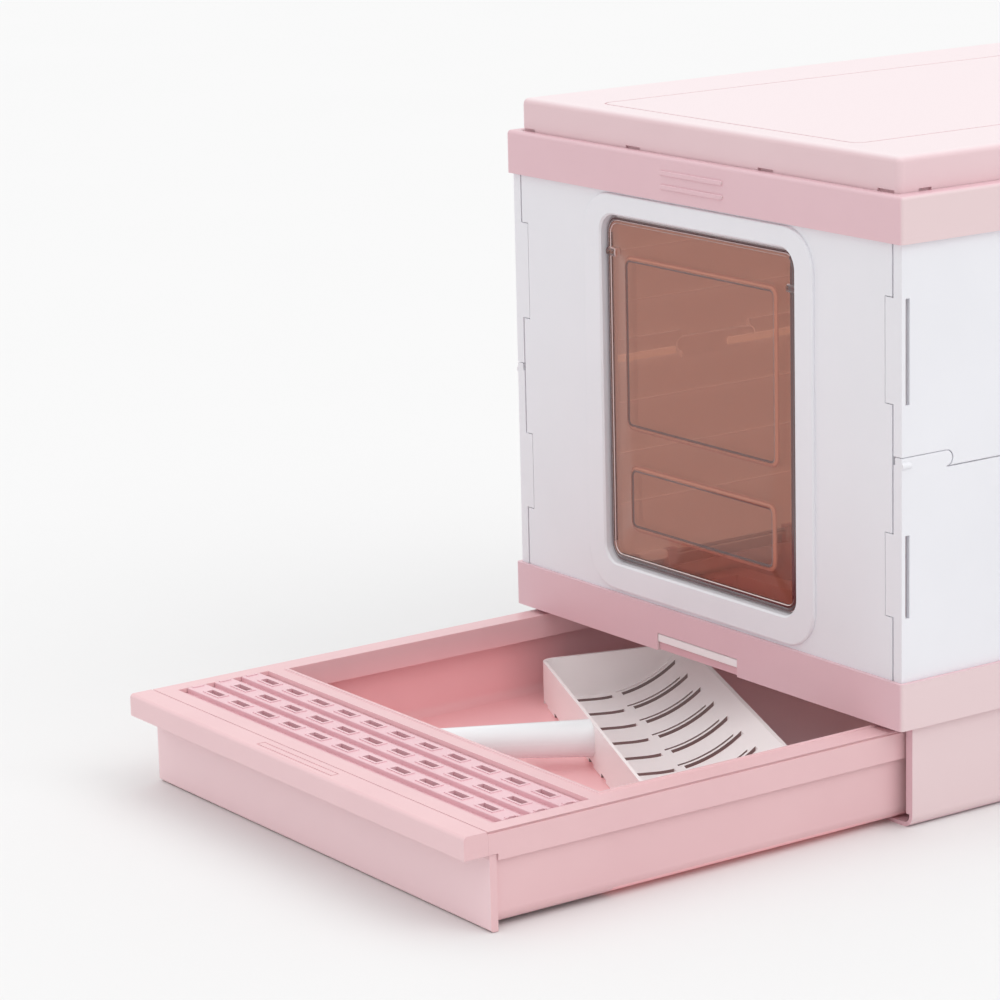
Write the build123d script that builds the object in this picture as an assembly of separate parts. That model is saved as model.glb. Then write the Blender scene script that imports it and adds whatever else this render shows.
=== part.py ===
from build123d import *
import math
import os

os.makedirs("parts", exist_ok=True)

# Frame: X runs to the right along the front, Y to the rear, Z up.
# The origin is the centre of the tub's underside, on the floor.
# The drawer is drawn pulled out, as it stands in use for cleaning.

# Overall sizes, in millimetres
width = 400.0
depth = 500.0
tub_height = 65.0
lower_band_height = 29.5
upper_band_height = 27.5
lid_height = 22.7

# General clearances
seat_gap = 0.3
slide_gap = 0.5
pin_clearance = 0.05

# Tub
tub_wall = 3.0
tub_floor = 2.5
tub_side_inset = 4.2
tub_front_inset = 12.7
tub_corner_radius = 8.0
tub_post_width = 5.8
tub_post_depth = 10.0
runner_thickness = 4.0
runner_end_gap = 20.0
tub_post_lift = 6.0

# Band frames
band_wall = 3.0
shelf_width = 16.0
shelf_thickness = 3.0
shelf_lip = 5.0
band_corner_radius = 2.6
band_rim_rise = 1.3
band_rim_round = 2.6
locating_rib_height = 7.0
locating_rib_wall = 2.0
locating_rib_setback = 20.0
notch_width = 83.0
notch_height = 11.8
grip_ridge_length = 64.0
grip_ridge_height = 3.2
grip_ridge_rise = 1.2
grip_ridge_spacing = 9.0

# Wall panels
panel_inset = 3.2
panel_wall = 3.0
panel_sink = 16.5
panel_rise = 19.8
return_width = 7.4
tab_width = 14.8
tab_upper_height = 64.5
tab_upper_drop = 33.0
tab_lower_height = 51.5
tab_lower_drop = 177.5
tab_slot_width = 3.2
rib_rise = 1.4
rib_thickness = 1.8
rib_pitch = 36.0
rib_first = 35.2
rib_end_margin = 22.0
ribs_per_half = 3

# Side wall hinges
mid_hinge_reach = 4.9
mid_hinge_thickness = 6.0
mid_hinge_root = 10.0
mid_hinge_round = 1.0
pin_end_margin = 2.0
mid_hinge_end = 35.8
mid_hinge_short = 60.0
side_pin_radius = 1.2
edge_hinge_radius = 3.3
edge_pin_radius = 1.5
edge_knuckle_length = 24.0
edge_ear_length = 8.0
edge_station_spacing = 140.0
corner_boss_radius = 2.2
corner_boss_length = 7.0
corner_boss_rise = 1.4

# Front and rear panels
panel_gap = 0.5
corner_gap = 1.4
end_panel_wall = 3.5
end_hinge_setback = 9.5
end_hinge_drop = 17.0
end_hinge_radius = 3.3
end_pin_radius = 1.4
end_ear_radius = 2.5
end_station = 125.0
end_knuckle_drop = 9.0
pocket_back = 2.5
pocket_rim = 3.0
stiffener_height = 4.3
stiffener_wall = 2.0
stiffener_inset = 6.0
stiffener_top_drop = 8.0

# Doorway and flap
door_width = 197.2
door_height = 233.5
door_top_drop = 15.5
door_sill = 20.0
door_radius = 13.0
door_border = 18.0
door_border_rise = 2.0
door_border_radius = 27.0
door_border_top_trim = 4.0
door_lip_chamfer = 1.2
border_softness = 0.7
rear_field_side = 70.2
rear_field_margin = 30.0
rear_field_radius = 24.0
rear_field_rise = 1.0
jamb_depth = 7.5
jamb_wall = 2.6
flap_gap = 2.0
flap_thickness = 3.0
flap_setback = 6.0
flap_radius = 11.0
flap_pivot_drop = 25.5
flap_pin_radius = 1.6
flap_pin_length = 8.0
flap_boss_length = 9.0
flap_boss_radius = 3.4
flap_socket_length = 6.0
flap_edge_round = 0.8
emboss_width = 3.2
emboss_rise = 0.9
emboss_radius = 7.0
emboss_upper_width = 155.0
emboss_upper_drop = 26.5
emboss_gap = 25.0
emboss_lower_width = 149.0
emboss_lower_height = 42.5
emboss_lower_rise = 25.5

# Latches under the front and rear panels
latch_width = 76.0
latch_thickness = 2.5
latch_setback = 7.5
latch_height = 8.4
latch_lift = 0.5
latch_panel_gap = 1.6
latch_bar_low = 5.6
latch_bar_drop = 0.7
latch_bar_setback = 0.5
latch_bar_round = 0.9
latch_face_setback = 1.7
latch_web_margin = 2.0
guide_width = 4.5
guide_depth = 2.0
guide_drop = 3.0

# Lid
lid_inset = 8.0
lid_side_inset = 9.5
lid_front_inset = 6.3
lid_gap = 0.6
lid_wall = 2.5
lid_corner_radius = 4.0
lid_edge_radius = 4.0
lid_groove_width = 1.4
lid_groove_depth = 0.7
lid_groove_inset_x = 60.5
lid_groove_inset_y = 18.0
lid_groove_radius = 9.0
lid_skirt_drop = 4.0
lid_skirt_wall = 2.0
lid_notch_width = 15.0
lid_notch_height = 2.7
lid_notch_places = (-0.915, -0.34, 0.3325, 0.895)
lid_notch_place_y = 20.7
lid_notch_width_y = 10.0
lid_hinge_radius = 3.1
lid_pin_radius = 1.4
lid_station = 115.0
lid_knuckle_length = 26.0
lid_ear_length = 9.0
lid_hinge_lift = 0.2
lid_foot_lift = 1.2

# Drawer
drawer_pull_share = 0.607
drawer_end_gap = 5.6
tray_side_inset = 11.8
tray_wall = 2.5
tray_floor = 2.5
tray_lift = 0.5
tray_corner_radius = 9.0
rim_side_inset = 8.4
rim_top = 61.6
rim_plate = 2.5
rim_wall = 2.5
rim_skirt = 18.6
rim_inner_skirt = 15.3
rim_top_width = 18.0
rim_bead_width = 2.2
rim_bead_rise = 0.8
rim_groove_drop = 0.6
rim_groove_height = 1.1
rim_groove_depth = 1.2
fascia_thickness = 5.0
fascia_side_inset = 9.6
fascia_lift = 0.5
fascia_radius = 2.0
lip_overhang = 18.2
lip_height = 14.3
lip_seam_setback = 16.8
lip_radius = 2.5
lip_seam_gap = 0.05
lip_seam_width = 0.9
lip_seam_depth = 1.4
grip_line_length = 84.0
grip_line_height = 6.0
grip_line_depth = 0.6
grip_line_wall = 0.8
grip_line_setback = 5.0
front_skirt_wall = 0.9

# Step grate
grate_border = 11.9
grate_depth = 68.3
grate_ledge = 4.0
grate_plate = 1.0
grate_recess = 3.2
grate_bars = 3
grate_bar_width = 14.0
grate_slot_length = 15.5
grate_slot_width = 5.0
grate_slot_pitch = 30.3
grate_slot_rim = 1.6
grate_slot_rise = 0.5
grate_bar_round = 0.8

# Scoop
scoop_corner_setback = 193.8
scoop_side_gap = 11.7
scoop_turn = 23.7
scoop_width = 0.755 * width
scoop_depth = 103.0
scoop_back_height = 30.0
scoop_lip_height = 34.0
scoop_wall = 2.2
scoop_flat = 34.0
scoop_heel_radius = 6.0
scoop_rows = 9
scoop_row_margin = 12.6
scoop_slot_width = 6.0
scoop_thin_width = 2.6
scoop_thin_shift = 7.1
scoop_heel_slot_start = 22.5
scoop_heel_slot_length = 24.5
scoop_curve_slot_start = 53.5
scoop_curve_slot_length = 38.0
scoop_foot_radius = 0.8
scoop_corner_radius = 8.0
scoop_notch_width = 13.0
scoop_notch_height = 3.0
handle_root_radius = 12.2
handle_tip_radius = 9.4
handle_length = 137.0
handle_axis_height = 18.4
handle_rise = 2.4
handle_end_radius = 4.0
tenon_radius = 5.0
tenon_clearance = 0.02

# Levels and faces that follow from the sizes above
front = -depth / 2
rear = depth / 2
half = width / 2
wall_low = tub_height + lower_band_height
wall_high = wall_low + door_sill + door_height + door_top_drop
wall_mid = (wall_low + wall_high) / 2
body_top = wall_high + upper_band_height
lid_low = body_top + seat_gap
lid_top = lid_low + lid_height
shelf_inner = half - shelf_width
panel_outer = half - panel_inset
panel_inner = panel_outer - panel_wall
panel_low = wall_low - panel_sink
panel_high = wall_high + panel_rise
edge_pin_x = panel_inner - edge_hinge_radius + seat_gap
edge_pin_low = panel_low + edge_hinge_radius
edge_pin_high = panel_high - edge_hinge_radius
mid_pin_x = panel_outer - mid_hinge_thickness / 2
end_half = panel_outer - return_width - corner_gap
end_low = tub_height + latch_height + latch_panel_gap
end_high = body_top - end_hinge_drop - seat_gap
tub_half = half - tub_side_inset
tub_front = front + tub_front_inset
tub_rear = rear - tub_side_inset
drawer_pull = drawer_pull_share * depth
drawer_length = tub_rear - tub_wall - drawer_end_gap - tub_front
drawer_back = tub_front - drawer_pull
tray_half_width = tub_half - tray_side_inset
rim_half_width = tub_half - rim_side_inset
fascia_half_width = tub_half - fascia_side_inset
tray_bottom = tub_floor + tray_lift
tray_base = tray_bottom + tray_floor
rim_inner = rim_half_width - rim_top_width
lip_front = drawer_back - fascia_thickness - lip_overhang
seam_y = lip_front + lip_seam_setback
grate_front = seam_y + grate_border
grate_rear = grate_front + grate_depth
tray_mouth = grate_rear + grate_border
drawer_rear = drawer_back + drawer_length
scoop_corner_x = scoop_side_gap - rim_inner
scoop_corner_y = tray_mouth + scoop_corner_setback


def block(x0, x1, y0, y1, z0, z1):
    """A box between two corners."""
    solid = Box(x1 - x0, y1 - y0, z1 - z0)
    return Pos((x0 + x1) / 2, (y0 + y1) / 2, (z0 + z1) / 2) * solid


def rod(radius, start, end):
    """A round bar between two points."""
    a = Vector(*start)
    b = Vector(*end)
    plane = Plane(origin=a, z_dir=b - a)
    return extrude(plane * Circle(radius), amount=(b - a).length)


def ring(outer_x, outer_y, inner_x, inner_y, z0, z1):
    """A rectangular ring given by its half sizes."""
    solid = block(-outer_x, outer_x, -outer_y, outer_y, z0, z1)
    return solid - block(-inner_x, inner_x, -inner_y, inner_y, z0 - 1, z1 + 1)


def upright_plate(half_x, z0, z1, radius, y0, y1):
    """A rounded plate that stands parallel to the front."""
    plane = Plane(origin=(0, y0, (z0 + z1) / 2), x_dir=(1, 0, 0), z_dir=(0, 1, 0))
    return extrude(plane * RectangleRounded(2 * half_x, z1 - z0, radius), amount=y1 - y0)


def both_sides(solid):
    """The solid and its mirror image on the other side of the centre line."""
    return solid + mirror(solid, Plane.YZ)


def mirrored(solid):
    return mirror(solid, Plane.YZ)


def turned(solid):
    """The same piece for the rear, turned half round the vertical axis."""
    return Rot(0, 0, 180) * solid


def upright_edges(solid):
    return solid.edges().filter_by(Axis.Z)


def make_tub():
    """Open-fronted tub that the drawer slides in."""
    middle = (tub_front + tub_rear) / 2
    length = tub_rear - tub_front
    shell = Pos(0, middle, tub_height / 2) * Box(2 * tub_half, length, tub_height)
    lower = shell.edges().filter_by(Axis.Y).group_by(Axis.Z)[0]
    shell = fillet(lower, tub_corner_radius)
    back_edges = shell.edges().filter_by(Axis.Z).group_by(Axis.Y)[-1]
    shell = fillet(back_edges, tub_corner_radius)
    inner_half = tub_half - tub_wall
    room = block(-inner_half, inner_half, tub_front - 1, tub_rear - tub_wall, tub_floor, tub_height + 1)
    room_edges = room.edges().filter_by(Axis.Y).group_by(Axis.Z)[0]
    room = fillet(room_edges, tub_corner_radius - tub_wall)
    tub = shell - room
    post_inner = tub_half - tub_post_width
    post = block(
        post_inner, inner_half + 0.5, tub_front, tub_front + tub_post_depth,
        tub_floor + tub_post_lift, tub_height,
    )
    tub += both_sides(post)
    runner_top = rim_top - rim_skirt - seat_gap
    runner_inner = tray_half_width + slide_gap
    runner = block(
        runner_inner, inner_half + 0.5, tub_front + tub_post_depth, tub_rear - tub_wall - runner_end_gap,
        runner_top - runner_thickness, runner_top,
    )
    return tub + both_sides(runner)


def make_latch_guides(level):
    """Two posts and a low rail on the shelf that guide one latch."""
    y0 = front + latch_setback - 1.0
    y1 = front + latch_setback + latch_thickness + seat_gap
    x0 = latch_width / 2 + seat_gap
    top = level + latch_height - guide_drop
    post = block(x0, x0 + guide_width, y0, y1 + guide_depth, level, top)
    rail = block(-x0 - 1, x0 + 1, y1, y1 + guide_depth, level, top)
    return both_sides(post) + rail


def edge_stations():
    return (-edge_station_spacing, 0.0, edge_station_spacing)


def make_edge_ears(pin_z, z0, z1):
    """Ears of a band frame that carry one side wall's edge pins, on the right."""
    ears = None
    x0 = edge_pin_x - edge_hinge_radius
    x1 = panel_inner - seat_gap
    for station in edge_stations():
        for side in (-1, 1):
            centre = station + side * (edge_knuckle_length / 2 + slide_gap + edge_ear_length / 2)
            ear = block(x0, x1, centre - edge_ear_length / 2, centre + edge_ear_length / 2, z0, z1)
            ears = ear if ears is None else ears + ear
    bore = rod(edge_pin_radius + pin_clearance, (edge_pin_x, front, pin_z), (edge_pin_x, rear, pin_z))
    return ears - bore


def make_lower_frame():
    """Lower band: a skirt with a shelf that the walls stand in."""
    top = wall_low
    low = tub_height
    frame = ring(half, depth / 2, half - band_wall, depth / 2 - band_wall, low, top)
    frame = fillet(frame.edges().filter_by(Axis.Z).group_by(SortBy.LENGTH)[-1].filter_by(
        lambda e: abs(abs(e.center().X) - half) < 0.01), band_corner_radius)
    shelf_y = depth / 2 - shelf_width
    frame += ring(half - 1, depth / 2 - 1, shelf_inner, shelf_y, low, low + shelf_thickness)
    lip_x = shelf_inner + band_wall
    lip_y = shelf_y + band_wall
    frame += ring(lip_x, lip_y, shelf_inner, shelf_y, low, low + shelf_thickness + shelf_lip)
    rib_outer = tub_half - tub_wall - seat_gap
    rib_rear = tub_rear - tub_wall - seat_gap
    rib_low = low - locating_rib_height
    rib_start = tub_front + locating_rib_setback
    rib_inner = rib_outer - locating_rib_wall
    rib = block(-rib_outer, rib_outer, rib_start, rib_rear, rib_low, low + 0.5)
    rib -= block(-rib_inner, rib_inner, tub_front, rib_rear - locating_rib_wall, rib_low - 1, low + 1)
    rib_end = drawer_rear + drawer_pull - 2
    rib -= block(-rib_outer - 1, rib_outer + 1, rib_end, rear, rib_low - 1, low + 0.4)
    frame += rib
    cut_y = front + latch_setback + latch_thickness + seat_gap
    notch_half = latch_width / 2 + seat_gap
    notch = block(-notch_half, notch_half, front - 1, cut_y, low - 1, low + shelf_thickness + 0.01)
    notch += block(
        -notch_width / 2, notch_width / 2, front - 1, front + band_wall + 0.01,
        low - 1, low + notch_height,
    )
    frame = frame - notch - turned(notch)
    guides = make_latch_guides(low)
    frame = frame + guides + turned(guides)
    ears = make_edge_ears(edge_pin_low, low + shelf_thickness - 0.5, edge_pin_low + edge_hinge_radius)
    return frame + both_sides(ears)


def end_stations():
    return (-end_station, end_station)


def make_end_ears():
    """Ears of the upper frame that carry the front panel's pins."""
    y = front + end_hinge_setback
    z = body_top - end_hinge_drop
    ears = None
    for station in end_stations():
        for side in (-1, 1):
            centre = station + side * (edge_knuckle_length / 2 + slide_gap + edge_ear_length / 2)
            x0 = centre - edge_ear_length / 2
            x1 = centre + edge_ear_length / 2
            ear = block(x0, x1, y - end_ear_radius, y + end_ear_radius, z, body_top - 1)
            ear += rod(end_ear_radius, (x0, y, z), (x1, y, z))
            ears = ear if ears is None else ears + ear
    bore = rod(end_pin_radius + pin_clearance, (-half, y, z), (half, y, z))
    return ears - bore


def make_grip_ridges():
    """Two finger ridges on the front of the upper band."""
    middle = (wall_high + body_top) / 2
    ridges = None
    for side in (-1, 1):
        z = middle + side * grip_ridge_spacing / 2
        bar = upright_plate(
            grip_ridge_length / 2, z - grip_ridge_height / 2, z + grip_ridge_height / 2,
            grip_ridge_height / 2 - 0.05, front - grip_ridge_rise, front + 0.5,
        )
        bar = fillet(bar.faces().sort_by(Axis.Y)[0].edges(), grip_ridge_rise * 0.6)
        ridges = bar if ridges is None else ridges + bar
    return ridges


def lid_stations():
    return (-lid_station, lid_station)


def make_lid_knuckles(of_frame):
    """Hinge knuckles along the rear edge, for the frame or for the lid."""
    y = rear - lid_inset / 2
    z = lid_low + lid_hinge_radius + lid_hinge_lift
    knuckles = None
    for station in lid_stations():
        if of_frame:
            gap = lid_knuckle_length / 2 + slide_gap
            left_ear = (station - gap - lid_ear_length, station - gap)
            spans = [left_ear, (station + gap, station + gap + lid_ear_length)]
        else:
            spans = [(station - lid_knuckle_length / 2, station + lid_knuckle_length / 2)]
        for x0, x1 in spans:
            barrel = rod(lid_hinge_radius, (x0, y, z), (x1, y, z))
            if of_frame:
                foot = block(x0, x1, y - lid_hinge_radius, y + lid_hinge_radius, body_top - 0.5, z)
            else:
                foot_low = z - lid_hinge_radius + lid_foot_lift
                foot = block(x0, x1, rear - lid_inset - 1, y, foot_low, z + lid_hinge_radius)
            piece = barrel + foot
            knuckles = piece if knuckles is None else knuckles + piece
    bore = rod(lid_pin_radius + pin_clearance, (-half, y, z), (half, y, z))
    return knuckles - bore


def make_upper_frame():
    """Upper band: a skirt hanging from a top plate, open in the middle."""
    low = wall_high
    rim_level = body_top + band_rim_rise
    frame = ring(half, depth / 2, half - band_wall, depth / 2 - band_wall, low, rim_level)
    corners = frame.edges().filter_by(Axis.Z).filter_by(lambda e: abs(abs(e.center().X) - half) < 0.01)
    frame = fillet(corners, band_corner_radius)
    brim = frame.faces().sort_by(Axis.Z)[-1].outer_wire().edges()
    frame = fillet(brim, band_rim_round)
    rim_x = half - lid_side_inset + lid_gap
    rim_y = depth / 2 - lid_front_inset + lid_gap
    frame += ring(half - band_wall, depth / 2 - band_wall, rim_x, rim_y, body_top - 0.5, rim_level)
    frame -= block(-half - 1, half + 1, rear - lid_inset - lid_gap, rear + 1, body_top, rim_level + 1)
    opening_y = depth / 2 - shelf_width
    frame += ring(half - 1, depth / 2 - 1, shelf_inner, opening_y, body_top - shelf_thickness, body_top)
    lip_x = shelf_inner + band_wall
    lip_y = opening_y + band_wall
    lip_low = body_top - shelf_thickness - shelf_lip
    frame += ring(lip_x, lip_y, shelf_inner, opening_y, lip_low, body_top)
    frame += make_grip_ridges()
    end_ears = make_end_ears()
    frame = frame + end_ears + turned(end_ears)
    side_ears = make_edge_ears(edge_pin_high, edge_pin_high - edge_hinge_radius, body_top - 1)
    frame += both_sides(side_ears)
    return frame + make_lid_knuckles(True)


def mid_spans():
    """Stretches of the middle hinge along Y, each with the half that it belongs to."""
    start = front + panel_inset
    total = depth - 2 * panel_inset
    long_span = (total - 2 * mid_hinge_end - 2 * mid_hinge_short) / 3
    middle = [long_span, mid_hinge_short, long_span, mid_hinge_short, long_span]
    lengths = [mid_hinge_end] + middle + [mid_hinge_end]
    spans = []
    y = start
    for index, length in enumerate(lengths):
        owner = "lower" if index % 2 == 0 else "upper"
        spans.append((owner, y, y + length))
        y += length
    return spans


def tab_levels(part):
    """Height span of the tabs on the lower or upper half."""
    if part == "upper":
        top = wall_high - tab_upper_drop
        return top - tab_upper_height, top
    top = wall_high - tab_lower_drop
    return top - tab_lower_height, top


def make_corner_return(part, z0, z1):
    """The wall's return round the front corner, with its tab."""
    y0 = front + panel_inset
    y1 = y0 + panel_wall
    fold = block(panel_outer - return_width, panel_outer, y0, y1, z0, z1)
    low, high = tab_levels(part)
    tab = block(panel_outer - tab_width, panel_outer, y0, y1, low, high)
    slot = block(panel_inner - 1, panel_outer + 1, y1, y1 + tab_slot_width, low, high)
    return fold + tab, slot


def make_mid_knuckle(a, b, root_z, tip_z, round_a, round_b):
    """One slab of the middle hinge; the lower wall's slabs end in round noses."""
    x0 = panel_outer - mid_hinge_thickness
    lo, hi = sorted((root_z, tip_z))
    lower = tip_z > root_z
    gap = 0.0 if lower else slide_gap / 2
    slab = block(x0, panel_outer, a + (gap if round_a else 0), b - (gap if round_b else 0), lo, hi)
    tip = slab.faces().sort_by(Axis.Z)[-1 if lower else 0]
    slab = fillet(tip.edges().filter_by(Axis.Y), mid_hinge_round)
    if lower:
        for y, wanted in ((a, round_a), (b, round_b)):
            if wanted:
                nose = rod(mid_hinge_reach, (x0, y, wall_mid), (panel_outer, y, wall_mid))
                nose = fillet(nose.edges().filter_by(GeomType.CIRCLE), mid_hinge_round)
                slab += nose
    return slab


def make_side_half(part):
    """One half of the right wall: a plate, its returns, its hinges and its ribs."""
    y0 = front + panel_inset
    y1 = rear - panel_inset
    upper = part == "upper"
    z0 = wall_mid if upper else panel_low
    z1 = panel_high if upper else wall_mid
    way = -1 if upper else 1
    plate = block(panel_inner, panel_outer, y0, y1, z0, z1)
    fold, slot = make_corner_return(part, z0, z1)
    flip = Plane.XZ
    plate = plate + fold + mirror(fold, flip) - slot - mirror(slot, flip)
    own_edge = wall_mid + way * mid_hinge_reach
    other_edge = wall_mid - way * (mid_hinge_reach + slide_gap)
    root_edge = wall_mid - way * mid_hinge_root
    knuckles = []
    for owner, a, b in mid_spans():
        first = a < y0 + 1
        last = b > y1 - 1
        if owner == part:
            knuckles.append(make_mid_knuckle(a, b, root_edge, own_edge, not first, not last))
        else:
            a_out = a - (1 if first else slide_gap / 2)
            b_out = b + (1 if last else slide_gap / 2)
            lo, hi = sorted((other_edge, wall_mid + way * 40))
            plate -= block(panel_outer - 15, panel_outer + 1, a_out, b_out, lo, hi)
    for knuckle in knuckles:
        plate += knuckle
    if upper:
        for owner, a, b in mid_spans():
            if owner == "upper":
                for y in (a, b):
                    nose = rod(
                        mid_hinge_reach + slide_gap,
                        (panel_outer - 15, y, wall_mid), (panel_outer + 1, y, wall_mid),
                    )
                    plate -= nose
    edge_z = edge_pin_high if upper else edge_pin_low
    for station in edge_stations():
        a = station - edge_knuckle_length / 2
        b = station + edge_knuckle_length / 2
        barrel = rod(edge_hinge_radius, (edge_pin_x, a, edge_z), (edge_pin_x, b, edge_z))
        foot = block(
            edge_pin_x, panel_inner + 0.5, a, b,
            edge_z - edge_hinge_radius, edge_z + edge_hinge_radius,
        )
        plate += barrel + foot
    edge_bore = edge_pin_radius + pin_clearance
    plate -= rod(edge_bore, (edge_pin_x, y0 + 20, edge_z), (edge_pin_x, y1 - 20, edge_z))
    first = wall_mid - way * rib_first
    for index in range(ribs_per_half):
        z = first - way * index * rib_pitch
        plate += block(
            panel_inner - rib_rise, panel_inner + 0.5, y0 + rib_end_margin, y1 - rib_end_margin,
            z - rib_thickness / 2, z + rib_thickness / 2,
        )
    if not upper:
        for y_end in (y0, y1 - corner_boss_length):
            x = panel_outer + corner_boss_rise - corner_boss_radius
            far = y_end + corner_boss_length
            plate += rod(corner_boss_radius, (x, y_end, wall_mid), (x, far, wall_mid))
    bore_y = y0 + panel_wall + pin_end_margin - slide_gap
    mid_bore = side_pin_radius + pin_clearance
    bore = rod(mid_bore, (mid_pin_x, bore_y, wall_mid), (mid_pin_x, -bore_y, wall_mid))
    return plate - bore


def make_mid_pin():
    y = depth / 2 - panel_inset - panel_wall - pin_end_margin
    return rod(side_pin_radius, (mid_pin_x, -y, wall_mid), (mid_pin_x, y, wall_mid))


def make_edge_pin(z):
    y = edge_station_spacing + edge_knuckle_length / 2 + slide_gap + edge_ear_length
    return rod(edge_pin_radius, (edge_pin_x, -y, z), (edge_pin_x, y, z))


def make_end_plate():
    """The plain plate shared by the front and rear panels, with its hinge barrels."""
    y0 = front + panel_inset
    y1 = y0 + end_panel_wall
    plate = block(-end_half, end_half, y0, y1, end_low, end_high)
    for part in ("lower", "upper"):
        low, high = tab_levels(part)
        inner = panel_outer - tab_width - panel_gap
        pocket = block(inner, half, y0 - 1, y1 + 1, low - panel_gap, high + panel_gap)
        back_low = low - pocket_rim
        back = block(inner - pocket_rim, end_half, y1, y1 + pocket_back, back_low, high + pocket_rim)
        plate -= both_sides(pocket)
        plate += both_sides(back)
    stiff_x = end_half - stiffener_inset
    stiff_top = wall_high - stiffener_top_drop
    stiff = block(stiff_x - stiffener_wall, stiff_x, y1 - 0.5, y1 + stiffener_height, end_low, stiff_top)
    plate += both_sides(stiff)
    cross = block(-stiff_x, stiff_x, y1 - 0.5, y1 + stiffener_height, end_low, end_low + stiffener_wall)
    plate += cross
    y = front + end_hinge_setback
    z = body_top - end_hinge_drop
    for station in end_stations():
        a = station - edge_knuckle_length / 2
        b = station + edge_knuckle_length / 2
        barrel = rod(end_hinge_radius, (a, y, z), (b, y, z))
        foot = block(a, b, y1 - 0.5, y + end_hinge_radius, z - end_knuckle_drop, z)
        plate += barrel + foot
    bore = rod(end_pin_radius + pin_clearance, (-half, y, z), (half, y, z))
    return plate - bore


def make_front_panel():
    """Front panel with the doorway, its raised border and its jamb."""
    y0 = front + panel_inset
    panel = make_end_plate()
    door_top = wall_high - door_top_drop
    door_low = door_top - door_height
    door_half = door_width / 2
    border = upright_plate(
        door_half + door_border, door_low - door_border, door_top + door_border - door_border_top_trim,
        door_border_radius,
        y0 - door_border_rise, y0 + 0.5,
    )
    border = fillet(border.faces().sort_by(Axis.Y)[0].edges(), door_border_rise * border_softness)
    jamb = upright_plate(
        door_half + jamb_wall, door_low - jamb_wall, door_top + jamb_wall, door_radius + jamb_wall,
        y0, y0 + end_panel_wall + jamb_depth,
    )
    hole = upright_plate(door_half, door_low, door_top, door_radius, front - 5, front + 30)
    panel = panel + border + jamb - hole
    rim_edges = panel.edges().filter_by(lambda e: abs(e.center().Y - (y0 - door_border_rise)) < 0.01)
    inner_edges = rim_edges.filter_by(lambda e: abs(e.center().X) < door_half + 1)
    inner_edges = inner_edges.filter_by(lambda e: door_low - 1 < e.center().Z < door_top + 1)
    panel = chamfer(inner_edges, door_lip_chamfer)
    pin_y = front + flap_setback + flap_thickness / 2
    pin_z = door_top - flap_pivot_drop
    boss = rod(flap_boss_radius, (door_half, pin_y, pin_z), (door_half + flap_socket_length, pin_y, pin_z))
    panel += both_sides(boss)
    reach = door_half - flap_gap - flap_pin_length / 2 + flap_pin_length + pin_clearance
    return panel - rod(flap_pin_radius + pin_clearance, (-reach, pin_y, pin_z), (reach, pin_y, pin_z))


def make_rear_panel():
    """Rear panel: plain, with a shallow raised field."""
    y0 = front + panel_inset
    panel = make_end_plate()
    low = wall_low + rear_field_margin
    high = wall_high - rear_field_margin
    field = upright_plate(
        end_half - rear_field_side, low, high, rear_field_radius, y0 - rear_field_rise, y0 + 0.5,
    )
    field = fillet(field.faces().sort_by(Axis.Y)[0].edges(), rear_field_rise * border_softness)
    return turned(panel + field)


def make_end_pins():
    """Two short pins of the front panel's top hinge."""
    y = front + end_hinge_setback
    z = body_top - end_hinge_drop
    reach = edge_knuckle_length / 2 + slide_gap + edge_ear_length
    pins = [rod(end_pin_radius, (s - reach, y, z), (s + reach, y, z)) for s in end_stations()]
    return Compound(children=pins)


def emboss_frame(width_x, height, top, y0, y1):
    outer = upright_plate(width_x / 2, top - height, top, emboss_radius, y0, y1)
    inner = upright_plate(
        width_x / 2 - emboss_width, top - height + emboss_width, top - emboss_width,
        emboss_radius - emboss_width, y0 - 1, y1 + 1,
    )
    return outer - inner


def make_flap():
    """Tinted flap with two raised outlines and pivot bosses."""
    door_top = wall_high - door_top_drop
    door_low = door_top - door_height
    half_x = door_width / 2 - flap_gap
    y0 = front + flap_setback
    y1 = y0 + flap_thickness
    flap = upright_plate(half_x, door_low + flap_gap, door_top - flap_gap, flap_radius, y0, y1)
    flap = fillet(flap.faces().sort_by(Axis.Y)[0].edges(), flap_edge_round)
    lower_top = door_low + emboss_lower_rise + emboss_lower_height
    flap += emboss_frame(emboss_lower_width, emboss_lower_height, lower_top, y0 - emboss_rise, y0 + 0.4)
    upper_top = door_top - emboss_upper_drop
    upper_height = upper_top - lower_top - emboss_gap
    flap += emboss_frame(emboss_upper_width, upper_height, upper_top, y0 - emboss_rise, y0 + 0.4)
    pin_y = (y0 + y1) / 2
    pin_z = door_top - flap_pivot_drop
    boss = rod(flap_boss_radius, (half_x - flap_boss_length, pin_y, pin_z), (half_x, pin_y, pin_z))
    flap += both_sides(boss)
    inner = half_x - flap_pin_length / 2 - pin_clearance
    bore = rod(flap_pin_radius + pin_clearance, (inner, pin_y, pin_z), (half_x + 1, pin_y, pin_z))
    return flap - bore - mirrored(bore)


def make_flap_pins():
    """Two short pins that the flap swings on."""
    pin_y = front + flap_setback + flap_thickness / 2
    pin_z = wall_high - door_top_drop - flap_pivot_drop
    x0 = door_width / 2 - flap_gap - flap_pin_length / 2
    pin = rod(flap_pin_radius, (x0, pin_y, pin_z), (x0 + flap_pin_length, pin_y, pin_z))
    return Compound(children=[pin, mirrored(pin)])


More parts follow.
